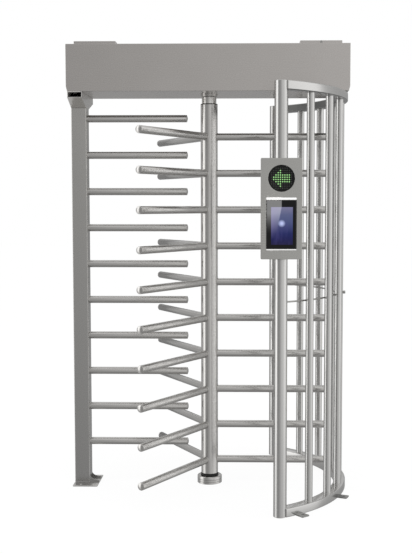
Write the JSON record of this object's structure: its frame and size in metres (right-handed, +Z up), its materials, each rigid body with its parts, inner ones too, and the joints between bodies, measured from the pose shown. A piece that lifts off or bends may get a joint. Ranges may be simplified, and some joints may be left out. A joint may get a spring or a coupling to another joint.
{
  "type": "full height turnstile",
  "caption": "Full height turnstile: a winged tube rotor turns between a post with a comb of bars and a half round tube cage, under a deep head beam.",
  "frame": {"origin": "on the floor, on the axis of the rotor, at the underside of the base cup", "axes": "+Z up along the rotor axis; +X from the rotor towards the middle of the cage; the entry side with the access panel faces -Y"},
  "size_m": [1.4376, 1.2757, 2.3036],
  "materials": {
    "satin_steel": "satin brushed stainless steel",
    "bright_steel": "polished stainless steel tube",
    "machined_steel": "machined steel",
    "black_rubber": "matte moulded",
    "black_plastic": "fine matte",
    "screen_glass": "gloss black cover glass",
    "lamp_diffuser": "white diffuser"
  },
  "bodies": {
    "frame": {"base_cup": "satin_steel", "base_seal": "black_rubber", "left_post": "satin_steel", "post_head": "satin_steel", "comb_bar_01": "satin_steel", "comb_bar_02": "satin_steel", "comb_bar_03": "satin_steel", "comb_bar_04": "satin_steel", "comb_bar_05": "satin_steel", "comb_bar_06": "satin_steel", "comb_bar_07": "satin_steel", "comb_bar_08": "satin_steel", "comb_bar_09": "satin_steel", "comb_bar_10": "satin_steel", "floor_ring": "satin_steel", "head_ring": "bright_steel", "front_post": "bright_steel", "rear_post": "bright_steel", "cage_tube_1": "bright_steel", "cage_tube_2": "bright_steel", "cage_tube_3": "bright_steel", "cage_tube_4": "bright_steel", "cage_tube_5": "bright_steel", "cage_tube_6": "bright_steel", "cage_tube_7": "bright_steel", "cage_hoop": "machined_steel", "beam_tray": "satin_steel", "beam_cover": "satin_steel", "left_hatch": "satin_steel", "right_hatch": "satin_steel", "top_bearing": "machined_steel", "damper_body": "machined_steel", "entry_solenoid": "black_plastic", "exit_solenoid": "black_plastic", "control_box": "black_plastic", "panel_housing": "satin_steel", "panel_bracket": "satin_steel", "indicator_lens": "black_plastic", "terminal_glass": "screen_glass", "light_bar": "lamp_diffuser"},
    "rotor": {"rotor_column": "satin_steel", "arm_tier_01": "satin_steel", "arm_tier_02": "satin_steel", "arm_tier_03": "satin_steel", "arm_tier_04": "satin_steel", "arm_tier_05": "satin_steel", "arm_tier_06": "satin_steel", "arm_tier_07": "satin_steel", "arm_tier_08": "satin_steel", "arm_tier_09": "satin_steel", "arm_tier_10": "satin_steel", "neck_spindle": "satin_steel", "pivot_plug": "machined_steel", "lock_wheel": "machined_steel", "drive_gear": "machined_steel"},
    "pinion": {"damper_pinion": "machined_steel"},
    "entry_lock": {"entry_pawl": "machined_steel"},
    "exit_lock": {"exit_pawl": "machined_steel"},
    "entry_push": {"entry_plunger": "bright_steel"},
    "exit_push": {"exit_plunger": "bright_steel"}
  },
  "joints": [
    {"name": "rotor_spin", "type": "hinge", "parent": "frame", "child": "rotor", "pos_m": [0, 0, 1], "axis": [0, 0, 1], "continuous": true},
    {"name": "pinion_spin", "type": "hinge", "parent": "frame", "child": "pinion", "pos_m": [-0.084, 0, 2.1], "axis": [0, 0, 1], "continuous": true},
    {"name": "entry_pawl_swing", "type": "hinge", "parent": "frame", "child": "entry_lock", "pos_m": [0.072, -0.092, 2.09], "axis": [0, 0, -1], "range_deg": [0, 8.5], "stiffness_Nm_per_rad": 0.6},
    {"name": "exit_pawl_swing", "type": "hinge", "parent": "frame", "child": "exit_lock", "pos_m": [0.072, 0.092, 2.09], "axis": [0, 0, 1], "range_deg": [0, 8.5], "stiffness_Nm_per_rad": 0.6},
    {"name": "entry_plunger_slide", "type": "slide", "parent": "frame", "child": "entry_push", "axis": [0, -1, 0], "range_m": [0, 0.0053]},
    {"name": "exit_plunger_slide", "type": "slide", "parent": "frame", "child": "exit_push", "axis": [0, 1, 0], "range_m": [0, 0.0053]}
  ],
  "couplings": [
    {"joint": "pinion_spin", "follows": "rotor_spin", "ratio": -3},
    {"joint": "entry_plunger_slide", "follows": "entry_pawl_swing", "m_per_rad": 0.035},
    {"joint": "exit_plunger_slide", "follows": "exit_pawl_swing", "m_per_rad": 0.035}
  ]
}
